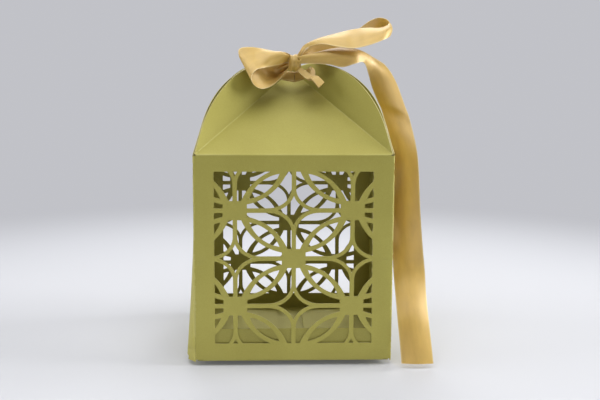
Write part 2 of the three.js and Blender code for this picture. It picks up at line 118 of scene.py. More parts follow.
def lattice_openings():
    """Outlines of every hole of the lattice. Rosettes stand on the even crossings of a grid and diamonds on
    the odd ones. A cell has a lens on its diagonal and a crescent on each side of it."""
    half_bar = BAR / 2
    diagonal = np.hypot(*PITCH)
    middle = np.array([PITCH[0] - half_bar - ROUND[0], half_bar + ROUND[1]])
    low = PITCH * LENS_START / diagonal
    high = PITCH - low
    lens_hole = np.concatenate([arc(low, high, LENS_HALF)[:-1], arc(high, low, LENS_HALF)[:-1]])

    foot_inner = np.array([ROSETTE[0], half_bar + BLUNT])
    head_inner = np.array([PITCH[0] - half_bar - BLUNT, PITCH[1] - ROSETTE[1]])
    off_diagonal = [(p[0] * PITCH[1] - p[1] * PITCH[0]) / diagonal for p in (foot_inner, head_inner)]
    rise = LENS_HALF + STRAP - np.mean(off_diagonal)
    turn = np.linspace(0, np.pi / 2, ARC + 1)
    corner = middle + ROUND * np.stack([np.sin(turn), -np.cos(turn)], axis=1)
    crescent = np.concatenate([
        [[ROSETTE[0], half_bar]], corner, [[PITCH[0] - half_bar, PITCH[1] - ROSETTE[1]]],
        arc(foot_inner, head_inner, -rise)[::-1]])

    reach = ROUND + DIAMOND_BAND
    turn = np.linspace(np.arccos(middle[1] / reach[1]), np.arcsin((PITCH[0] - middle[0]) / reach[0]), ARC)
    side = middle + reach * np.stack([np.sin(turn), -np.cos(turn)], axis=1) - [PITCH[0], 0]
    signs = [((1, 1), 1), ((-1, 1), -1), ((-1, -1), 1), ((1, -1), -1)]
    diamond = np.concatenate([(side * sign)[::step][:-1] for sign, step in signs])

    centre = np.array([0, (WINDOW[1] + WINDOW[2]) / 2])
    holes = []
    for i in range(-2, 3):
        for j in range(-2, 3):
            corner_at = centre + PITCH * [i, j]
            if (i + j) % 2:
                holes.append(diamond + corner_at)
            if i < 2 and j < 2:
                for hole in (lens_hole, crescent, PITCH - crescent):
                    across = PITCH[0] - hole[:, 0] if (i + j) % 2 else hole[:, 0]
                    holes.append(np.stack([across, hole[:, 1]], axis=1) + corner_at)
    return holes


def inside(points, outline):
    """Even-odd rule: a ray to the right from a point inside crosses the outline an odd number of times."""
    x, z = points[:, :1], points[:, 1:]
    x0, z0 = outline.T
    x1, z1 = np.roll(outline, -1, axis=0).T
    rise = np.where(z1 == z0, 1, z1 - z0)
    crosses = ((z0 > z) != (z1 > z)) & (x < (x1 - x0) * (z - z0) / rise + x0)
    return crosses.sum(axis=1) % 2 == 1


def rectangle(x0, z0, x1, z1):
    """Its four corners, from the low left one and to the right."""
    return np.array([[x0, z0], [x1, z0], [x1, z1], [x0, z1]], float)


def cut_blank(outline, holes, notches, columns, rows):
    """A flat piece of card, as triangles: a Delaunay net over the outline, the cut lines and a grid of
    columns and rows, without the triangles whose middles fall in a notch or in a hole of the window."""
    window = rectangle(-WINDOW[0], WINDOW[1], WINDOW[0], WINDOW[2])
    rings = [outline, *notches, *([window] if holes else []), *holes]
    grid = np.stack(np.meshgrid(columns, rows), axis=-1).reshape(-1, 2)
    points = np.concatenate([*rings, grid])
    starts = np.cumsum([0] + [len(ring) for ring in rings])
    lines = np.concatenate([
        np.stack([np.arange(len(ring)), np.roll(np.arange(len(ring)), -1)], axis=1) + start
        for ring, start in zip(rings, starts)])
    net = delaunay_2d_cdt([Vector(p) for p in points.tolist()], lines.tolist(), [], 0, 1e-4)
    at = np.array(net[0])
    faces = np.array(net[2])
    middles = at[faces].mean(axis=1)
    keep = inside(middles, outline)
    for notch in notches:
        keep &= ~inside(middles, notch)
    in_window = inside(middles, window)
    for hole in holes:
        keep &= ~(inside(middles, hole) & in_window)
    faces = faces[keep]
    used, faces = np.unique(faces, return_inverse=True)
    return at[used], faces.reshape(-1, 3)


def quarter_turn(points, quarter):
    """The four sides are alike: a point of the front is turned by so many right angles round the middle."""
    cos, sin = [(1, 0), (0, 1), (-1, 0), (0, -1)][quarter]
    x, y, z = np.moveaxis(points, -1, 0)
    return np.stack([x * cos - y * sin, x * sin + y * cos, z], axis=-1)


def bow_of_wall(u, z, quarter):
    """How far a wall stands out from its plane: a shallow cushion that dies out at its four edges, and on
    the left wall a swelling beside the front corner that grows downwards, where the glued seam pulls."""
    cushion = np.cos(np.pi * u / 2 / HALF) * np.sin(np.pi * np.clip(z / LID_CREASE, 0, 1))
    out = CUSHION[quarter] * cushion
    if quarter == 3:
        from_corner = np.clip((HALF - u) / SEAM_WIDE, 0, None)
        downwards = np.clip(1 - z / SEAM_TOP, 0, 1) ** SEAM_CURVE
        out = out + SEAM_OUT * downwards * from_corner * np.exp(1 - from_corner)
    return out


def on_wall(u, z, quarter, depth=0.0):
    """Outer face of a wall: straight across, then an arc halfway round the corner fold. A point may lie
    `depth` inside that face."""
    round_fold = np.clip(np.abs(u) - FLAT, 0, None) / CORNER
    out = bow_of_wall(u, z, quarter) - depth
    x = np.sign(u) * (np.minimum(np.abs(u), FLAT) + (CORNER + out) * np.sin(round_fold))
    y = -FLAT - (CORNER + out) * np.cos(round_fold)
    return quarter_turn(np.stack([x, y, z], axis=-1), quarter)


def face_normals(points, faces):
    """Newell's sum over triangles or quads: half the cross product of the two diagonals or sides."""
    a, b, c = (points[faces[:, i]] for i in range(3))
    d = points[faces[:, -1]]
    return np.cross(c - a, d - b) if faces.shape[1] == 4 else np.cross(b - a, c - a)


def open_edges(faces):
    """Edges that only one face has, in that face's own direction."""
    edges = np.stack([faces, np.roll(faces, -1, axis=1)], axis=-1).reshape(-1, 2)
    key = np.sort(edges, axis=1)
    _, index, count = np.unique(key, axis=0, return_inverse=True, return_counts=True)
    return edges[count[index.ravel()] == 1]


def sheet_piece(name, points, faces, thickness, materials, uv=None, sharp=35, centred=False, highlit=None):
    """A thin closed sheet: the given face, a second one `thickness` behind it along the mean normals, and a
    rim of quads round the open edges. The materials are the face's, the back's, the rim's, and that of the
    faces that get a painted highlight. Millimetres in, metres out."""
    normals = face_normals(points, faces)
    at_points = np.zeros_like(points)
    for corner in faces.T:
        np.add.at(at_points, corner, normals)
    at_points /= np.linalg.norm(at_points, axis=1, keepdims=True) + 1e-12
    front = points + at_points * (thickness / 2 if centred else 0)
    both = np.concatenate([front, front - at_points * thickness]) * MM
    rim = open_edges(faces)
    shift = len(points)
    rim_faces = np.stack([rim[:, 1], rim[:, 0], rim[:, 0] + shift, rim[:, 1] + shift], axis=1)
    all_faces = faces.tolist() + (faces[:, ::-1] + shift).tolist() + rim_faces.tolist()
    mesh = bpy.data.meshes.new(name)
    mesh.from_pydata(both.tolist(), [], all_faces)
    slots = np.zeros(len(all_faces), np.int32)
    slots[len(faces):2 * len(faces)] = min(1, len(materials) - 1)
    slots[2 * len(faces):] = min(2, len(materials) - 1)
    # the marked faces get the painted highlight of a fold
    if highlit is not None:
        slots[:len(faces)][highlit] = 3
    mesh.polygons.foreach_set("material_index", slots)
    for material in materials:
        mesh.materials.append(material)
    if uv is not None:
        vertex = np.empty(len(mesh.loops), np.int32)
        mesh.loops.foreach_get("vertex_index", vertex)
        layer = mesh.uv_layers.new(name="weave")
        layer.data.foreach_set("uv", np.concatenate([uv, uv])[vertex].astype(np.float32).ravel())
    mesh.polygons.foreach_set("use_smooth", np.ones(len(all_faces), bool))
    mesh.set_sharp_from_angle(angle=np.radians(sharp))
    mesh.update()
    piece = bpy.data.objects.new(name, mesh)
    bpy.context.scene.collection.objects.link(piece)
    return piece


def new_group(name, inputs, outputs):
    """A shader group with named sockets: each input has a kind and a value, each output a kind."""
    group = bpy.data.node_groups.new(name, "ShaderNodeTree")
    for label, kind, value in inputs:
        socket = group.interface.new_socket(name=label, in_out="INPUT", socket_type=kind)
        if value is not None:
            socket.default_value = value
    for label, kind in outputs:
        group.interface.new_socket(name=label, in_out="OUTPUT", socket_type=kind)
    return group, group.nodes.new("NodeGroupInput"), group.nodes.new("NodeGroupOutput")


def card_grain():
    """Pearl card: broad clouds in the colour, a fine fleck of mica, and the fibres of the paper as height."""
    colour, number, vector = "NodeSocketColor", "NodeSocketFloat", "NodeSocketVector"
    group, given, out = new_group(
        "card_grain",
        [("Vector", vector, None), ("Light", colour, None), ("Dark", colour, None), ("Fleck", number, FLECK)],
        [("Colour", colour), ("Roughness", number), ("Height", number)])
    link = group.links.new
    clouds = group.nodes.new("ShaderNodeTexNoise")
    clouds.inputs["Scale"].default_value = 55
    clouds.inputs["Detail"].default_value = 4
    fleck = group.nodes.new("ShaderNodeTexVoronoi")
    fleck.inputs["Scale"].default_value = 5200
    fibres = group.nodes.new("ShaderNodeTexNoise")
    fibres.inputs["Scale"].default_value = 1900
    fibres.inputs["Detail"].default_value = 5
    fibres.inputs["Roughness"].default_value = 0.65
    for texture in (clouds, fleck, fibres):
        link(given.outputs["Vector"], texture.inputs["Vector"])
    spread = group.nodes.new("ShaderNodeMapRange")
    spread.inputs["From Min"].default_value = 0.3
    spread.inputs["From Max"].default_value = 0.7
    link(clouds.outputs["Fac"], spread.inputs["Value"])
    body = group.nodes.new("ShaderNodeMix")
    body.data_type = "RGBA"
    link(spread.outputs["Result"], body.inputs["Factor"])
    link(given.outputs["Dark"], body.inputs["A"])
    link(given.outputs["Light"], body.inputs["B"])
    shine = group.nodes.new("ShaderNodeMath")
    shine.operation = "MULTIPLY"
    link(fleck.outputs["Color"], shine.inputs[0])
    link(given.outputs["Fleck"], shine.inputs[1])
    lit = group.nodes.new("ShaderNodeMix")
    lit.data_type = "RGBA"
    lit.blend_type = "SCREEN"
    link(shine.outputs["Value"], lit.inputs["Factor"])
    link(body.outputs["Result"], lit.inputs["A"])
    lit.inputs["B"].default_value = (0.30, 0.27, 0.08, 1)
    link(lit.outputs["Result"], out.inputs["Colour"])
    gloss = group.nodes.new("ShaderNodeMapRange")
    gloss.inputs["To Min"].default_value = 0.48
    gloss.inputs["To Max"].default_value = 0.6
    link(fibres.outputs["Fac"], gloss.inputs["Value"])
    link(gloss.outputs["Result"], out.inputs["Roughness"])
    link(fibres.outputs["Fac"], out.inputs["Height"])
    return group


def pearl_card(name, light, dark, metallic=0.25):
    """Card with a pearl coating: the grain group over Object coordinates, and a half-metallic sheen."""
    material = bpy.data.materials.new(name)
    material.use_nodes = True
    nodes, link = material.node_tree.nodes, material.node_tree.links.new
    shader = nodes["Principled BSDF"]
    place = nodes.new("ShaderNodeTexCoord")
    grain = nodes.new("ShaderNodeGroup")
    grain.node_tree = bpy.data.node_groups["card_grain"]
    grain.inputs["Light"].default_value = (*light, 1)
    grain.inputs["Dark"].default_value = (*dark, 1)
    raised = nodes.new("ShaderNodeBump")
    raised.inputs["Strength"].default_value = 0.35
    raised.inputs["Distance"].default_value = GRAIN_DEEP * MM
    link(place.outputs["Object"], grain.inputs["Vector"])
    link(grain.outputs["Colour"], shader.inputs["Base Color"])
    link(grain.outputs["Roughness"], shader.inputs["Roughness"])
    link(grain.outputs["Height"], raised.inputs["Height"])
    link(raised.outputs["Normal"], shader.inputs["Normal"])
    shader.inputs["Metallic"].default_value = metallic
    return material


card_grain()
card_outside = pearl_card("card_outside", CARD_COLOUR, CARD_SHADE)
# the inside of the card: the same pearl, darkened as painted shade
card_inside = pearl_card("card_inside", [c * 0.86 for c in CARD_COLOUR], [c * 0.84 for c in CARD_SHADE])
cut_edge = pearl_card("card_cut_edge", CUT_COLOUR, [c * 0.8 for c in CUT_COLOUR], metallic=0.0)
# the pale face of a fold is a painted highlight
fold_highlight = pearl_card("card_fold_highlight", FOLD_HIGHLIGHT_COLOUR, CARD_COLOUR)

lattice = lattice_openings()
round_corner = FLAT + CORNER * np.linspace(0, np.pi / 4, 5)
wall_columns = np.concatenate([-round_corner[:0:-1], np.linspace(-FLAT, FLAT, 33), round_corner[1:]])
wall_rows = np.linspace(0, WALL_TOP, 33)
# foot of the wall at its corners, then half width and height of the notch above a bottom crease
WALL_FEET = {
    "front": (0.7, 0, 0), "right": (0.1, 27.2, 1.2), "back": (0.1, 29.3, 0.6), "left": (0.1, 27.2, 1.2)}
HIGHLIGHT_FROM = FLAT + 0.1      # the painted highlight of a fold begins here
for quarter, (side, (foot, notch_half, notch_top)) in enumerate(WALL_FEET.items()):
    edge = round_corner[-1]
    notches = [rectangle(-notch_half, -1, notch_half, notch_top)] if notch_half else []
    outline = rectangle(-edge, foot, edge, WALL_TOP)
    flat_points, triangles = cut_blank(outline, lattice, notches, wall_columns, wall_rows)
    placed = on_wall(flat_points[:, 0], flat_points[:, 1], quarter)
    # faces round the corner folds get a painted highlight
    at_fold = np.abs(flat_points[triangles, 0]).mean(axis=1) > HIGHLIGHT_FROM
    materials = [card_outside, card_inside, cut_edge, fold_highlight]
    wall = sheet_piece(f"wall_{side}", placed, triangles, CARD, materials, highlit=at_fold)
    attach(wall, "sleeve")
    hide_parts(f"{side}_panel")

# The glue tab: a strip of the same card, creased back from the front wall and glued flat inside the left
# wall. It closes the sleeve, and follows the wall wherever that swells.
TAB_WIDTH = 5.2
TAB_END = 6.0
TAB_TAPER = 3.0
TAB_DEPTH = 2 * CARD + 0.03
tab_u = np.linspace(0, 1, 9)[:, None]
tab_v = np.linspace(0, 1, 25)
tab_across = FLAT - CARD - tab_u * TAB_WIDTH
tab_low = TAB_END + tab_u * TAB_TAPER
tab_up = tab_low + (LID_CREASE - 2 * tab_low) * tab_v
tab_points = on_wall(tab_across + 0 * tab_up, tab_up, 3, TAB_DEPTH - CARD)


def grid_faces(rows, columns, closed=False):
    """Quads of a grid whose points run row by row; a closed grid joins its last column to its first."""
    index = np.arange(rows * columns).reshape(rows, columns)
    if closed:
        index = np.concatenate([index, index[:, :1]], axis=1)
    a, b, c, d = index[:-1, :-1], index[1:, :-1], index[1:, 1:], index[:-1, 1:]
    return np.stack([a, b, c, d], axis=-1).reshape(-1, 4)


# both faces of the tab get the inside of the card, with its painted shade
glue_tab = sheet_piece("tab_glued", tab_points.reshape(-1, 3), grid_faces(9, 25)[:, ::-1], CARD,
                       [card_inside, card_inside, cut_edge])
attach(glue_tab, "sleeve")
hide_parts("glue_tab")

# The bottom: a panel creased to the back wall, a tongue that tucks in behind the front wall, and a dust
# flap from each side wall lying on the panel. They keep their cut shapes and get the card's inside, the same
# pearl with painted shade.
for node in ("bottom_panel", "tuck_tongue", "left_dust_flap", "right_dust_flap"):
    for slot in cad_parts[node].material_slots:
        slot.material = card_inside


def fold_piece(name, first, ridge, last):
    """A bare fold between two panels: for each point along it, a quadratic curve from the outer face of one
    panel to the other's, pulled towards the ridge, where the two faces would meet."""
    t = np.linspace(0, 1, 7)[:, None, None]
    curve = (1 - t) ** 2 * first + 2 * t * (1 - t) * ridge + t**2 * last
    points = curve.reshape(-1, 3)
    # the fold's outer face gets the painted highlight, its inner face the painted shade of the inside
    piece = sheet_piece(name, points, grid_faces(7, first.shape[0]), CARD,
                        [fold_highlight, card_inside, cut_edge])
    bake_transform(piece)


def along(count, x0, x1, y, z):
    """Points of a straight crease across the box at one depth and height."""
    x = np.linspace(x0, x1, count)
    return np.stack([x, np.full(count, float(y)), np.full(count, float(z))], axis=1)


BOTTOM_EDGE = 29.4          # the panel's back edge,
BOTTOM_HALF = 29.2          # and half its width
TONGUE_FACE = 29.4          # the tongue's front face, half its width and its lower edge
TONGUE_HALF = 27.5
TONGUE_FOOT = 0.6
FLAP_HALF = 27.0            # half a flap's width, its edge beside the wall and its underside
FLAP_EDGE = 29.4
FLAP_UNDER = 0.6
SIDE_FOOT = 1.2             # where the side walls and the back wall end above their bottom creases
BACK_FOOT = 0.6
back_foot = np.linspace(-BOTTOM_HALF, BOTTOM_HALF, 25)
fold_piece(
    "fold_back_bottom", on_wall(back_foot, 0 * back_foot + BACK_FOOT, 2),
    along(25, BOTTOM_HALF, -BOTTOM_HALF, HALF, 0), along(25, BOTTOM_HALF, -BOTTOM_HALF, BOTTOM_EDGE, 0))
fold_piece(
    "fold_tongue", along(25, TONGUE_HALF, -TONGUE_HALF, -TONGUE_FACE + TONGUE_FOOT, 0),
    along(25, TONGUE_HALF, -TONGUE_HALF, -TONGUE_FACE, 0),
    along(25, TONGUE_HALF, -TONGUE_HALF, -TONGUE_FACE, TONGUE_FOOT))
for side, quarter in (("right", 1), ("left", 3)):
    foot = np.linspace(-FLAP_HALF, FLAP_HALF, 41)
    wall_foot = on_wall(foot, 0 * foot + SIDE_FOOT, quarter)
    below = wall_foot - [0, 0, SIDE_FOOT - FLAP_UNDER]
    flap_side = quarter_turn(along(41, -FLAP_HALF, FLAP_HALF, -FLAP_EDGE, FLAP_UNDER), quarter)
    fold_piece(f"fold_{side}_flap", wall_foot, below, flap_side)

# The lid: four petals creased to the tops of the walls. Each has a sloping middle and two wings that
# stand up back to back with the next petal's, as the fins on the corners of the lid.
PETAL_HEIGHT = 38.7         # from the lid crease to the round top, flat
PETAL_TRIM = 0.25           # cut off its round edge, so that two petals don't meet
SLOPE = np.arccos(HALF / PETAL_HEIGHT)
HIP = np.hypot(HALF, PETAL_HEIGHT)
RUN, RISE = HALF / HIP, PETAL_HEIGHT / HIP
WING_FOLD = np.arccos(np.sin(SLOPE) / np.sqrt(2))
FIN_DEPTH = 0.45            # half the air between two wings, and one card
HIP_START = HALF - CARD / 2 * (1 - np.sin(SLOPE)) - FIN_DEPTH * np.sqrt(2)
HIP_LAG = HALF - HIP_START
HIP_GAP = 0.2               # half the bare fold at a hip, and the bare fold at the foot of a petal
LID_GAP = 0.25
LID_TOP = LID_CREASE + HALF * np.tan(SLOPE)
HOLE_FROM_TIP = 8.0         # ribbon hole in each wing: from the point of the lid, along the hip
HOLE_FROM_CREASE = 3.5
HOLE_RADIUS = 2.0
TIP_HALF = 1.2              # the wings end this far from the middle of the petal's round top
WING_REACH = 12.0           # rows of a wing's net go up to here from the hip
SPLAY_AT = 14.0             # place up the hip where the wings spring apart most,
SPLAY_OVER = 15.0           # how far that reaches along the hip,
SPLAY_HIGH = 11.0           # and the height above the hip where the gap is the one given
WING_LEAN = 0.22            # of the 0.6 mm between two wings
LEAN_HIGH = 4.0             # height above the hip where it is reached


def on_petal(points, quarter):
    """From a petal's own axes (across, up the slope, out of its middle plane) to its place on the lid."""
    x, y, z = np.moveaxis(points, -1, 0)
    cos, sin = np.cos(SLOPE), np.sin(SLOPE)
    placed = np.stack([x, -HALF + CARD / 2 + y * cos - z * sin, LID_CREASE + y * sin + z * cos], axis=-1)
    return quarter_turn(placed, quarter)


def on_hip(points, quarter, turn):
    """From a hip crease's own axes (up the hip, out to the wing, out of the outer face) to the lid."""
    x, y, z = np.moveaxis(points, -1, 0)
    across = -turn * (HIP_START + HIP_LAG * RUN**2) + turn * x * RUN - turn * y * RISE
    up = -HIP_LAG * RUN * RISE + x * RISE + y * RUN
    return on_petal(np.stack([across, up, z + CARD / 2], axis=-1), quarter)


def wing_edge_x(across, up):
    """How far up the hip a point of the flat petal lies."""
    return (HALF - across) * RUN + up * RISE


for side in WALL_FEET:
    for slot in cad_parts[f"{side}_petal"].material_slots:
        slot.material = card_outside


def splay(x, y, loose):
    """The ribbon pinches a fin at its holes, near the point of the lid, so its wings lean together. Low down
    they spring apart: the gap grows with the square of the height above the hip, and dies out as a bell
    curve along the hip."""
    apart = loose * (y / SPLAY_HIGH) ** 2 * np.exp(-((x - SPLAY_AT) / SPLAY_OVER) ** 2)
    return apart - WING_LEAN * np.clip(y / LEAN_HIGH, 0, 1)


def on_wing(x, y, quarter, turn, loose=0.0):
    """From a flat wing's axes (up the hip, out from it) to its outer face, folded up from the petal."""
    out = splay(x, y, loose)
    cos, sin = np.cos(WING_FOLD), np.sin(WING_FOLD)
    return on_hip(np.stack([x, y * cos - out * sin, y * sin + out * cos], axis=-1), quarter, turn)


petal_foot = HIP_START - HIP_GAP / RISE - LID_GAP * HALF / PETAL_HEIGHT
ridge_drop = CARD / 2 * (1 - np.sin(SLOPE)) / np.cos(SLOPE)
wing_low = (HIP_GAP + PETAL_TRIM * RISE) / RUN
round_radius = HALF - PETAL_TRIM
wing_start = wing_edge_x(round_radius, wing_low)
wing_end = wing_edge_x(TIP_HALF, np.sqrt(round_radius**2 - TIP_HALF**2) + PETAL_HEIGHT - HALF)
round_turn = np.linspace(0, np.arccos(TIP_HALF / round_radius), 49)
round_across = round_radius * np.cos(round_turn)
round_up = PETAL_HEIGHT - HALF + round_radius * np.sin(round_turn)
round_x = wing_edge_x(round_across, round_up)
round_y = (round_across - HALF) * RISE + round_up * RUN
wing_outline = np.concatenate([
    [[wing_start, HIP_GAP]], np.stack([round_x, round_y], axis=1), [[round_x[-1], HIP_GAP]]])
hole_turn = np.linspace(0, 2 * np.pi, 33)[:-1]
wing_hole = np.stack([HIP - HOLE_FROM_TIP + HOLE_RADIUS * np.cos(hole_turn),
                      HOLE_FROM_CREASE + HOLE_RADIUS * np.sin(hole_turn)], axis=1)
wing_columns = np.linspace(wing_start, wing_end, 33)[1:-1]
wing_rows = np.linspace(HIP_GAP, WING_REACH, 11)[1:]
wing_points, wing_triangles = cut_blank(wing_outline, [], [wing_hole], wing_columns, wing_rows)
# how far each wing springs out of its fin
LOOSE = {("front", "left"): 0.5, ("front", "right"): 0.25, ("right", "left"): 1.2, ("right", "right"): 0.6,
         ("back", "left"): 0.5, ("back", "right"): 0.9, ("left", "left"): 0.7, ("left", "right"): 0.5}
for quarter, side in enumerate(WALL_FEET):
    u = np.linspace(-petal_foot, petal_foot, 31)
    wall_line = on_wall(u, 0 * u + WALL_TOP, quarter)
    flat = np.stack([u, 0 * u - ridge_drop, 0 * u + CARD / 2], axis=1)
    ridge = on_petal(flat, quarter)
    flat[:, 1] = LID_GAP
    fold_piece(f"fold_{side}_lid", wall_line[::-1], ridge[::-1], on_petal(flat, quarter)[::-1])
    for hand, turn in (("left", 1), ("right", -1)):
        x = np.linspace(wing_start, wing_end, 31)[::-turn]
        petal_side = on_hip(np.stack([x, 0 * x - HIP_GAP, 0 * x], axis=1), quarter, turn)
        hip = on_hip(np.stack([x, 0 * x, 0 * x], axis=1), quarter, turn)
        fin = np.stack([x, 0 * x + HIP_GAP * np.cos(WING_FOLD), 0 * x + HIP_GAP * np.sin(WING_FOLD)],
                       axis=1)
        fold_piece(f"fold_{side}_{hand}_hip", petal_side, hip, on_hip(fin, quarter, turn))
        placed = on_wing(*wing_points.T, quarter, turn, LOOSE[side, hand])
        wing = sheet_piece(f"wing_{side}_{hand}", placed, wing_triangles[:, ::turn], CARD,
                           [card_outside, card_inside, cut_edge])
        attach(wing, f"{side}_petal_{hand}_wing")
        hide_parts(f"{side}_petal_{hand}_wing")

# The ribbon: 10 mm double-faced satin. One length is drawn through the eight holes of the fins, gathered
# into folds, and tied in front in a bow with two loops, a long tail and a short one.
RIBBON = 10.0
RIBBON_THICK = 0.16
SATIN_LIGHT = (0.60, 0.395, 0.09)
SATIN_DARK = (0.50, 0.32, 0.068)
SELVEDGE = (0.62, 0.46, 0.19)
ACROSS = 25                 # points across the ribbon
PLEATS = 2                  # where it is gathered
RUN_AVERAGE = 4             # the rise of the cloth is evened out over so many sections on either side
FOLD_POINTS = 12            # points across one layer of folded ribbon
FOLD_UNEVEN = 0.12          # its outer folds are this much shorter than its middle ones


def satin(name):
    """Woven satin: fine ridges across the ribbon, a firmer selvedge at both edges, soft streaks along it."""
    material = bpy.data.materials.new(name)
    material.use_nodes = True
    nodes, link = material.node_tree.nodes, material.node_tree.links.new
    shader = nodes["Principled BSDF"]
    layer = nodes.new("ShaderNodeUVMap")
    layer.uv_map = "weave"
    streak_place = nodes.new("ShaderNodeMapping")
    streak_place.inputs["Scale"].default_value = (0.09, 2.5, 1)
    link(layer.outputs["UV"], streak_place.inputs["Vector"])
    streak = nodes.new("ShaderNodeTexNoise")
    streak.inputs["Scale"].default_value = 1.6
    streak.inputs["Detail"].default_value = 3
    link(streak_place.outputs["Vector"], streak.inputs["Vector"])
    body = nodes.new("ShaderNodeMix")
    body.data_type = "RGBA"
    body.inputs["A"].default_value = (*SATIN_DARK, 1)
    body.inputs["B"].default_value = (*SATIN_LIGHT, 1)
    spread = nodes.new("ShaderNodeMapRange")
    spread.inputs["From Min"].default_value = 0.25
    spread.inputs["From Max"].default_value = 0.65
    link(streak.outputs["Fac"], spread.inputs["Value"])
    link(spread.outputs["Result"], body.inputs["Factor"])
    split = nodes.new("ShaderNodeSeparateXYZ")
    link(layer.outputs["UV"], split.inputs["Vector"])
    from_middle = nodes.new("ShaderNodeMath")
    from_middle.operation = "SUBTRACT"
    link(split.outputs["Y"], from_middle.inputs[0])
    from_middle.inputs[1].default_value = 0.5
    out_from = nodes.new("ShaderNodeMath")
    out_from.operation = "ABSOLUTE"
    link(from_middle.outputs["Value"], out_from.inputs[0])
    selvedge = nodes.new("ShaderNodeMapRange")
    selvedge.inputs["From Min"].default_value = 0.455
    selvedge.inputs["From Max"].default_value = 0.48
    link(out_from.outputs["Value"], selvedge.inputs["Value"])
    edged = nodes.new("ShaderNodeMix")
    edged.data_type = "RGBA"
    edged.inputs["B"].default_value = (*SELVEDGE, 1)
    link(selvedge.outputs["Result"], edged.inputs["Factor"])
    link(body.outputs["Result"], edged.inputs["A"])
    link(edged.outputs["Result"], shader.inputs["Base Color"])
    ridges = nodes.new("ShaderNodeTexWave")
    ridges.bands_direction = "X"
    ridges.inputs["Scale"].default_value = 2.4
    ridges.inputs["Distortion"].default_value = 0.3
    link(layer.outputs["UV"], ridges.inputs["Vector"])
    raised = nodes.new("ShaderNodeBump")
    raised.inputs["Strength"].default_value = 0.3
    raised.inputs["Distance"].default_value = 0.02 * MM
    link(ridges.outputs["Fac"], raised.inputs["Height"])
    link(raised.outputs["Normal"], shader.inputs["Normal"])
    gloss = nodes.new("ShaderNodeMapRange")
    gloss.inputs["To Min"].default_value = 0.40
    gloss.inputs["To Max"].default_value = 0.48
    link(streak.outputs["Fac"], gloss.inputs["Value"])
    link(gloss.outputs["Result"], shader.inputs["Roughness"])
    threads = nodes.new("ShaderNodeTangent")
    threads.direction_type = "UV_MAP"
    threads.uv_map = "weave"
    link(threads.outputs["Tangent"], shader.inputs["Tangent"])
    shader.inputs["Anisotropic"].default_value = 0.5
    shader.inputs["Anisotropic Rotation"].default_value = 0.25
    shader.inputs["Metallic"].default_value = 0.15
    shader.inputs["Subsurface Weight"].default_value = 0.12
    shader.inputs["Subsurface Radius"].default_value = (1, 0.7, 0.45)
    shader.inputs["Subsurface Scale"].default_value = 0.8 * MM
    shader.inputs["Specular IOR Level"].default_value = 1.0
    shader.inputs["Sheen Weight"].default_value = 0.25
    shader.inputs["Sheen Roughness"].default_value = 0.35
    return material


ribbon_satin = satin("ribbon_satin")


def smooth_line(points, count):
    """A uniform Catmull-Rom curve through the points, with both ends carried straight on."""
    p = np.array(points, float)
    p = np.concatenate([[2 * p[0] - p[1]], p, [2 * p[-1] - p[-2]]])
    t = np.linspace(0, len(points) - 1, count)
    i = np.minimum(t.astype(int), len(points) - 2)
    t = (t - i)[:, None]
    a, b, c, d = (p[i + k] for k in range(4))
    return 0.5 * (2 * b + (c - a) * t + (2 * a - 5 * b + 4 * c - d) * t**2 + (3 * b - a - 3 * c + d) * t**3)


def ribbon_grid(near, far, count, pleated, most=((0, 4.0),), width=RIBBON):
    """Cloth between two edge lines. Where they run closer than the ribbon is wide, the spare width rises
    out of the straight line between them: as one shallow hollow, or as several pleats where `pleated` is 1.
    The rise is found by halving, so that each cross-section is as long as the ribbon is wide, but it stays
    under `most`: what is left over is tucked away in the knot. `pleated` and `most` are given as pairs, of
    the share of the way along the ribbon and the value there."""
    a, b = smooth_line(near, count), smooth_line(far, count)
    chord = b - a
    reach = np.linalg.norm(chord, axis=1)
    forward = np.gradient(a, axis=0) + np.gradient(b, axis=0)
    out = np.cross(forward, chord)
    out /= np.linalg.norm(out, axis=1, keepdims=True)
    v = np.linspace(0, 1, ACROSS)
    share = np.interp(np.linspace(0, 1, count), *np.array(pleated, float).T)[:, None]
    wave = (share - 1) * np.sin(np.pi * v) + share * np.sin(2 * np.pi * PLEATS * v)
    high = np.interp(np.linspace(0, 1, count), *np.array(most, float).T)
    low = np.zeros(count)
    for _ in range(30):
        rise = (low + high) / 2
        step = np.hypot(reach[:, None] / (ACROSS - 1), rise[:, None] * np.diff(wave, axis=1)).sum(axis=1)
        low, high = np.where(step < width, rise, low), np.where(step < width, high, rise)
    window = 2 * RUN_AVERAGE + 1
    rise = np.convolve(np.pad(rise, RUN_AVERAGE, mode="edge"), np.ones(window) / window, mode="valid")
    points = a[:, None] + chord[:, None] * v[:, None] + out[:, None] * (rise[:, None] * wave)[..., None]
    run = np.cumsum(np.linalg.norm(np.diff((a + b) / 2, axis=0, prepend=(a + b)[:1] / 2), axis=1))
    uv = np.stack(np.broadcast_arrays(run[:, None], v), axis=-1)
    return points, uv


def ribbon_piece(name, node, points, uv, held, rests_on, length):
    """A stretch of the ribbon from its grid of points. `length`, what was cut for it from the roll, is not
    used.
    """
    piece = sheet_piece(name, points.reshape(-1, 3), grid_faces(*points.shape[:2]), RIBBON_THICK,
                        [ribbon_satin], uv.reshape(-1, 2), sharp=60, centred=True)
    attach(piece, "ribbon")
    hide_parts(node)


def from_lid(points):
    """The bow is drawn from the point of the lid."""
    return np.array(points, float) + [0, 0, LID_TOP]


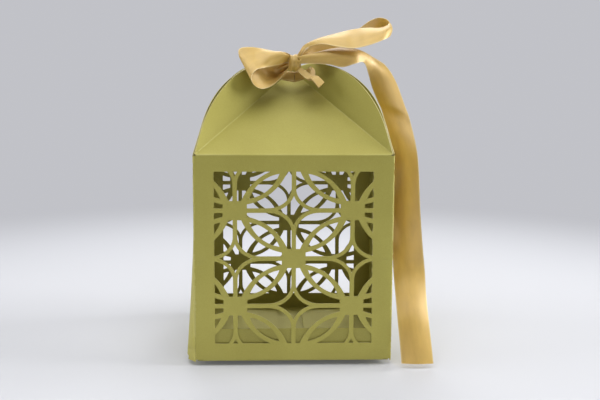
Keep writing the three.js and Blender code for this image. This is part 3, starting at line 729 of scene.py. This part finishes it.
# Round the neck: the ribbon lies folded to and fro in four layers, 2.6 mm high, and goes in at one fin's
# holes and out at the next. Both its ends turn forwards to the knot.
NECK_HIGH = 2.6
NECK_DEEP = 0.95
KNOT_AT = np.array([0.65, -11.1, 2.2])
ROUND_THE_FINS = 1.9        # how far outside the holes it turns from one fin to the next
NECK_ENDS = (0.03, 1.7, -2.2, 2.9)  # its ends: beside, behind and under the middle of the knot, and how high
NECK_LEAN = [-0.8, -0.4]    # at its ends its lower edge stands forward, under the knot
hole_out = (HOLE_FROM_TIP * HALF + HOLE_FROM_CREASE * HALF * np.tan(SLOPE) / np.sqrt(2)) / HIP
hole_up = (HOLE_FROM_CREASE * HALF * np.sqrt(2) - HOLE_FROM_TIP * HALF * np.tan(SLOPE)) / HIP
round_out = hole_out + ROUND_THE_FINS
end_beside, end_behind, under_knot, end_high = NECK_ENDS
beside_fin = (hole_up + under_knot) / 2
neck_half = [
    (KNOT_AT[0] + end_beside, KNOT_AT[1] + end_behind, under_knot, end_high),
    (hole_out - 2.3, -hole_out - 1.8, beside_fin, NECK_HIGH), (hole_out, -hole_out, hole_up, NECK_HIGH),
    (round_out, -hole_out / 2, hole_up, NECK_HIGH), (round_out, hole_out / 2, hole_up, NECK_HIGH),
    (hole_out, hole_out, hole_up, NECK_HIGH), (hole_out / 2, round_out, hole_up, NECK_HIGH)]
neck_mirrored = [(-x, y, z, high) for x, y, z, high in neck_half]
neck_mirrored[0] = (KNOT_AT[0] - end_beside, *neck_half[0][1:])
neck_route = np.array(neck_mirrored + neck_half[::-1])
lean = np.zeros((len(neck_route), 1))
lean[[0, 1], 0] = lean[[-1, -2], 0] = NECK_LEAN
half_band = neck_route[:, 3:] / 2 * [0, 0, 1] - lean * [0, 1, 0]
neck_lower = smooth_line(from_lid(neck_route[:, :3]) - half_band, 240)
neck_upper = smooth_line(from_lid(neck_route[:, :3]) + half_band, 240)


def folded_grid(lower, upper, layers, deep):
    """Ribbon laid to and fro in so many layers between two lines: a cross-section swings from the lower to
    the upper line and back as a cosine, while it steps evenly through the depth of the fold."""
    v = np.linspace(0, 1, FOLD_POINTS * layers + 1)
    swing = -np.cos(np.pi * layers * v) * (1 - FOLD_UNEVEN * np.sin(2 * np.pi * v))
    middle = (lower + upper) / 2
    side = np.cross(np.gradient(middle, axis=0), upper - lower)
    side /= np.linalg.norm(side, axis=1, keepdims=True)
    points = (middle[:, None] + (upper - lower)[:, None] / 2 * swing[:, None]
              + side[:, None] * (deep * (v - 0.5))[:, None])
    run = np.cumsum(np.linalg.norm(np.diff(middle, axis=0, prepend=middle[:1]), axis=1))
    return points, np.stack(np.broadcast_arrays(run[:, None], v), axis=-1)


ribbon_piece("ribbon_round_neck", "ribbon_neck_band", *folded_grid(neck_lower, neck_upper, 4, NECK_DEEP),
             "gathered", ["front_petal_left_wing", "back_petal_left_wing"], 55)

# The knot: one turn of the ribbon drawn tight round the waist of the bow, with its folds running round.
# It is satin like the rest, drawn as a barrel whose ends are pulled in to a point.
KNOT_HALF = 2.1             # half its width along the bow
KNOT_ROUND = 2.25           # its radius from front to back,
KNOT_TALLER = 1.12          # and how much more it is up and down
KNOT_ROWS, KNOT_COLUMNS = 41, 64
knot_v = np.linspace(-1, 1, KNOT_ROWS)[:, None]
knot_turn = np.linspace(0, 2 * np.pi, KNOT_COLUMNS + 1)[:-1]
knot_fold = (0.07 * np.sin(9.5 * knot_v + 0.9 * np.sin(knot_turn + 0.4))
             + 0.03 * np.sin(3 * knot_turn + 2 * knot_v))
knot_r = KNOT_ROUND * np.sqrt(np.clip(1 - np.abs(knot_v) ** 5, 0, 1)) * (1 + knot_fold)
drawn_in = 1 - 0.35 * np.clip(np.abs(knot_v) - 0.9, 0, 1) * 10
knot_x = KNOT_HALF * np.sign(knot_v) * np.abs(knot_v) ** 0.8 * drawn_in
knot_points = from_lid(KNOT_AT + np.stack(
    [knot_x + 0 * knot_r, knot_r * np.sin(knot_turn), knot_r * KNOT_TALLER * np.cos(knot_turn)], axis=-1))
knot_uv = np.stack(np.broadcast_arrays(knot_turn * KNOT_ROUND, (knot_v + 1) / 2), axis=-1)


def solid_piece(name, points, faces, material, uv):
    """A closed smooth surface from a grid that joins itself, its two ends drawn together to a point."""
    mesh = bpy.data.meshes.new(name)
    mesh.from_pydata((points * MM).tolist(), [], faces.tolist())
    mesh.materials.append(material)
    vertex = np.empty(len(mesh.loops), np.int32)
    mesh.loops.foreach_get("vertex_index", vertex)
    layer = mesh.uv_layers.new(name="weave")
    layer.data.foreach_set("uv", uv[vertex].astype(np.float32).ravel())
    mesh.polygons.foreach_set("use_smooth", np.ones(len(faces), bool))
    mesh.update()
    piece = bpy.data.objects.new(name, mesh)
    bpy.context.scene.collection.objects.link(piece)
    return piece


knot = solid_piece("ribbon_tied_knot", knot_points.reshape(-1, 3),
                   grid_faces(KNOT_ROWS, KNOT_COLUMNS, closed=True), ribbon_satin, knot_uv.reshape(-1, 2))
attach(knot, "ribbon")
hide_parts("ribbon_knot")

# The left loop: the same satin leaves the knot, turns in front of the left front fin and comes back below.
# The knot alone holds it, and its edges are rolled in.
LEFT_WIDTH = 8.0            # what the rolled edges leave of the ribbon's width
LEFT_FRONT = [
    (0.2, -11.6, 2.5), (-1.5, -11.9, 2.4), (-4.5, -13.9, 1.6), (-8.2, -16.8, 0.9), (-11.1, -19.2, 0.2),
    (-12.6, -20.3, -1.9), (-12.0, -20.0, -4.2), (-9.5, -17.6, -5.6), (-6.4, -15.0, -4.7),
    (-3.6, -12.9, -2.3), (-1.6, -11.6, -0.2), (0.2, -11.2, 1.2)]
LEFT_BACK = [
    (0.2, -10.4, 3.2), (-1.5, -10.0, 4.2), (-4.5, -10.6, 5.3), (-8.8, -12.2, 6.4), (-13.1, -13.8, 7.0),
    (-16.4, -15.6, 6.4), (-16.2, -17.0, 3.7), (-14.0, -16.4, 1.8), (-10.4, -13.4, 1.6), (-6.1, -11.4, 2.2),
    (-1.6, -10.2, 2.6), (0.2, -10.2, 2.4)]
left_grid = ribbon_grid(from_lid(LEFT_FRONT), from_lid(LEFT_BACK), 120,
                        pleated=[(0, 1), (0.18, 0), (0.82, 0), (1, 1)], width=LEFT_WIDTH)
ribbon_piece("ribbon_loop_left", "ribbon_left_loop", *left_grid, "folded", ["ribbon_tied_knot"], 38)

# The right loop: the same satin stands up from the knot above the right front fin, and the knot alone holds
# it. The cloth is firm enough to stay open at its bend.
RIGHT_TOP = [
    (1.4, -10.7, 3.0), (2.8, -10.2, 5.2), (4.1, -9.6, 7.2), (8.9, -8.8, 9.9), (14.0, -8.4, 11.4),
    (18.5, -8.0, 12.5), (23.1, -7.8, 13.1), (27.3, -7.4, 13.1), (29.8, -6.4, 13.9), (30.6, -4.9, 15.1),
    (29.6, -3.4, 16.1), (27.4, -2.6, 16.4), (24.6, -2.8, 15.3), (20.4, -3.5, 12.5), (13.6, -5.0, 10.2),
    (7.2, -6.8, 8.3), (3.2, -8.8, 5.4), (1.4, -10.0, 3.2)]
RIGHT_FOOT = [
    (1.4, -11.6, 2.8), (2.8, -12.0, 4.7), (4.7, -13.2, 7.0), (8.9, -15.0, 8.0), (13.7, -16.2, 7.2),
    (18.6, -16.2, 6.8), (22.8, -15.6, 7.6), (26.2, -14.4, 8.7), (28.8, -12.4, 9.7), (30.5, -9.0, 10.5),
    (30.8, -4.8, 10.9), (29.9, -0.6, 10.7), (27.0, 2.4, 10.0), (20.8, 1.6, 8.0), (13.6, -1.8, 6.0),
    (7.4, -5.2, 4.2), (3.1, -9.0, 2.3), (1.4, -10.2, 2.2)]
right_grid = ribbon_grid(from_lid(RIGHT_TOP), from_lid(RIGHT_FOOT), 180,
                         pleated=[(0, 1), (0.12, 0), (0.88, 0), (1, 1)], most=[(0, 0.9)])
ribbon_piece("ribbon_loop_right", "ribbon_right_loop", *right_grid, "folded", ["ribbon_tied_knot"], 68)

# The long tail: the same satin passes over the right front fin, turns down outside the right wall and ends
# on the floor, cut straight across. It hangs free from the knot and leans out below, where it catches light.
TAIL_FAR = [
    (1.4, -11.4, 2.4), (2.9, -11.6, 3.5), (6.0, -11.2, 4.9), (10.6, -11.0, 6.3), (15.6, -10.0, 7.0),
    (19.8, -7.6, 6.5), (23.8, -4.8, 4.9), (27.2, -4.4, 3.2), (30.0, -6.0, 1.0), (32.7, -8.8, -3.6),
    (35.1, -13.0, -10.9), (36.4, -16.2, -15.5)]
TAIL_NEAR = [
    (1.4, -12.0, 1.8), (2.9, -13.4, 2.0), (6.5, -14.4, 2.0), (11.0, -14.6, 1.8), (15.2, -14.8, 1.0),
    (18.9, -14.8, 2.0), (21.4, -13.0, 2.6), (22.8, -11.0, 1.6), (23.8, -9.4, -1.0), (25.2, -8.6, -5.4),
    (27.0, -9.0, -9.6), (28.5, -10.4, -13.5)]
TAIL_CHORD = 9.7            # it is curled a little, so its edges lie closer than the ribbon is wide
TAIL_AIR = 1.1              # between its near edge and the right wall
# beside the wall: more air in ribbon widths, place in halves of the box, share of its height, turn
TAIL_DOWN = np.array([
    (0.01, 0.55, 0.98, 0.83), (0, 0.64, 0.715, 0.66), (0, 0.67, 0.53, 0.4), (0.01, 0.75, 0.42, 0.1),
    (0.03, 0.89, 0.31, -0.1), (0.06, 1.02, 0.2, -0.1), (0.12, 1.08, 0.09, -0.05), (0.17, 1.1, 0.002, 0.03)])
gap, place, share, turned = TAIL_DOWN.T
near_down = np.stack([HALF + TAIL_AIR + gap * RIBBON, -HALF * place, LID_CREASE * share], axis=1)
far_down = near_down + TAIL_CHORD * np.stack([np.cos(turned), -np.sin(turned), 0 * turned], axis=1)
tail_far = np.concatenate([from_lid(TAIL_FAR), far_down])
tail_near = np.concatenate([from_lid(TAIL_NEAR), near_down])
tail_grid = ribbon_grid(tail_far, tail_near, 260, pleated=[(0, 1), (0.06, 0), (1, 0)],
                        most=[(0.26, 2.0), (0.36, 0.9), (1, 1.2)])
ribbon_piece("ribbon_tail_long", "ribbon_long_tail", *tail_grid, "hung", ["ribbon_tied_knot"], 122)

# The short tail: the other cut end of the same satin, folded narrow as it leaves the knot. It points down
# over the right front fin.
SHORT_FAR = [
    (1.6, -12.0, 1.0), (2.9, -12.8, 0.4), (4.3, -13.6, -0.5), (5.9, -14.4, -1.7), (7.7, -15.2, -2.0),
    (9.5, -16.2, -3.8)]
SHORT_NEAR = [
    (1.2, -12.0, 0.4), (2.1, -13.0, -0.8), (3.2, -13.9, -1.9), (4.7, -14.8, -2.9), (5.8, -15.8, -2.9),
    (7.8, -16.8, -5.3)]
SHORT_DEEP = 0.7
short_grid = folded_grid(smooth_line(from_lid(SHORT_NEAR), 40), smooth_line(from_lid(SHORT_FAR), 40), 4,
                         SHORT_DEEP)
ribbon_piece("ribbon_tail_short", "ribbon_short_tail", *short_grid, "folded", ["ribbon_tied_knot"], 10)

# The table and the sweep behind it: one roll of pale paper, flat under the box and curving up far behind.
# The photograph is lit by soft boxes above, behind and at both sides, in a dim room.
SWEEP = 2000.0              # half its width
BEHIND = 900.0              # where it begins to curve up,
BEND = 350.0                # and the radius of the curve
FOOT_AIR = 1.3              # the walls' cut edges stand this far off the paper
PAPER_WHITE = (0.90, 0.91, 0.93)    # the light that it throws back on the box, near it and farther off
PAPER_WHITE_FAR = (0.50, 0.505, 0.52)
PAPER_COLOUR = (0.555, 0.56, 0.59)  # its colour as seen, and the even glow that it fades into far off
PAPER_GLOW = (0.66, 0.675, 0.72)
PAPER_GLOW_FAR = (0.535, 0.54, 0.575)
PAPER_FADE = (0.11, 0.29)   # metres from the box's middle
bend_turn = np.linspace(0, np.pi / 2, 25)
sweep_y = np.concatenate([[-1500, -600, 0, 300, BEHIND], BEHIND + BEND * np.sin(bend_turn[1:]),
                          [BEHIND + BEND] * 2])
sweep_z = np.concatenate([[0] * 5, BEND * (1 - np.cos(bend_turn[1:])), [900, 1800]]) - FOOT_AIR
sweep_x = np.array([-SWEEP, SWEEP])[:, None]
sweep_points = np.stack(np.broadcast_arrays(sweep_x, sweep_y, sweep_z), axis=-1).reshape(-1, 3)


def pale_paper():
    """Matt paper, whiter for the light that falls on the box than as it is seen. With the distance from the
    box it fades into an even glow, as a smooth step."""
    material = bpy.data.materials.new("pale_paper")
    material.use_nodes = True
    nodes, link = material.node_tree.nodes, material.node_tree.links.new
    shader = nodes["Principled BSDF"]
    shader.inputs["Roughness"].default_value = 0.8

    def mixed(factor, first, second):
        """The mix of two colours, each a colour or the output of a node."""
        mix = nodes.new("ShaderNodeMix")
        mix.data_type = "RGBA"
        link(factor, mix.inputs["Factor"])
        for socket, value in (("A", first), ("B", second)):
            if isinstance(value, tuple):
                mix.inputs[socket].default_value = (*value, 1)
            else:
                link(value, mix.inputs[socket])
        return mix.outputs["Result"]

    def reckoned(operation, first, second):
        """The result of one sum on the outputs of two nodes."""
        math = nodes.new("ShaderNodeMath")
        math.operation = operation
        link(first, math.inputs[0])
        link(second, math.inputs[1])
        return math.outputs["Value"]

    place = nodes.new("ShaderNodeTexCoord")
    away = nodes.new("ShaderNodeVectorMath")
    away.operation = "LENGTH"
    link(place.outputs["Object"], away.inputs[0])
    far = nodes.new("ShaderNodeMapRange")
    far.interpolation_type = "SMOOTHSTEP"
    far.inputs["From Min"].default_value, far.inputs["From Max"].default_value = PAPER_FADE
    link(away.outputs["Value"], far.inputs["Value"])
    ray = nodes.new("ShaderNodeLightPath").outputs
    seen = reckoned("MAXIMUM", ray["Is Camera Ray"], ray["Is Glossy Ray"])
    seen = reckoned("MAXIMUM", seen, ray["Is Transmission Ray"])
    white = mixed(far.outputs["Result"], PAPER_WHITE, PAPER_WHITE_FAR)
    link(mixed(seen, white, PAPER_COLOUR), shader.inputs["Base Color"])
    part = nodes.new("ShaderNodeMapRange")
    part.inputs["To Min"].default_value = 0.12
    link(far.outputs["Result"], part.inputs["Value"])
    glow = nodes.new("ShaderNodeEmission")
    link(mixed(far.outputs["Result"], PAPER_GLOW, PAPER_GLOW_FAR), glow.inputs["Color"])
    both = nodes.new("ShaderNodeMixShader")
    link(reckoned("MULTIPLY", part.outputs["Result"], seen), both.inputs["Fac"])
    link(shader.outputs["BSDF"], both.inputs[1])
    link(glow.outputs["Emission"], both.inputs[2])
    link(both.outputs["Shader"], nodes["Material Output"].inputs["Surface"])
    return material


sweep_mesh = bpy.data.meshes.new("table_sweep")
sweep_mesh.from_pydata((sweep_points * MM).tolist(), [], grid_faces(2, len(sweep_y)).tolist())
sweep_mesh.materials.append(pale_paper())
sweep_mesh.polygons.foreach_set("use_smooth", np.ones(len(sweep_mesh.polygons), bool))
sweep = bpy.data.objects.new("table_sweep", sweep_mesh)
bpy.context.scene.collection.objects.link(sweep)


LAMPS_AIM = Vector((0, 0, 0.05))


def soft_lamp(name, at, size, power):
    """A square soft box that faces the middle of the box. Metres and watts."""
    data = bpy.data.lights.new(name, "AREA")
    data.size = size
    data.energy = power
    lamp = bpy.data.objects.new(name, data)
    lamp.location = at
    lamp.rotation_euler = (LAMPS_AIM - Vector(at)).to_track_quat("-Z", "Y").to_euler()
    bpy.context.scene.collection.objects.link(lamp)


soft_lamp("lamp_top", (0, -0.29, 0.95), 0.9, 7.2)
soft_lamp("lamp_right", (0.9, 0, 0.4), 0.5, 9.5)
soft_lamp("lamp_left", (-0.9, 0, 0.4), 0.5, 4)
soft_lamp("lamp_behind", (0, 0.7, 0.8), 0.6, 4.5)
world = bpy.data.worlds.new("room")
world.use_nodes = True
world.node_tree.nodes["Background"].inputs["Color"].default_value = (0.95, 0.97, 1.0, 1)
world.node_tree.nodes["Background"].inputs["Strength"].default_value = 0.15
bpy.context.scene.world = world
bpy.context.scene.view_settings.view_transform = "Standard"
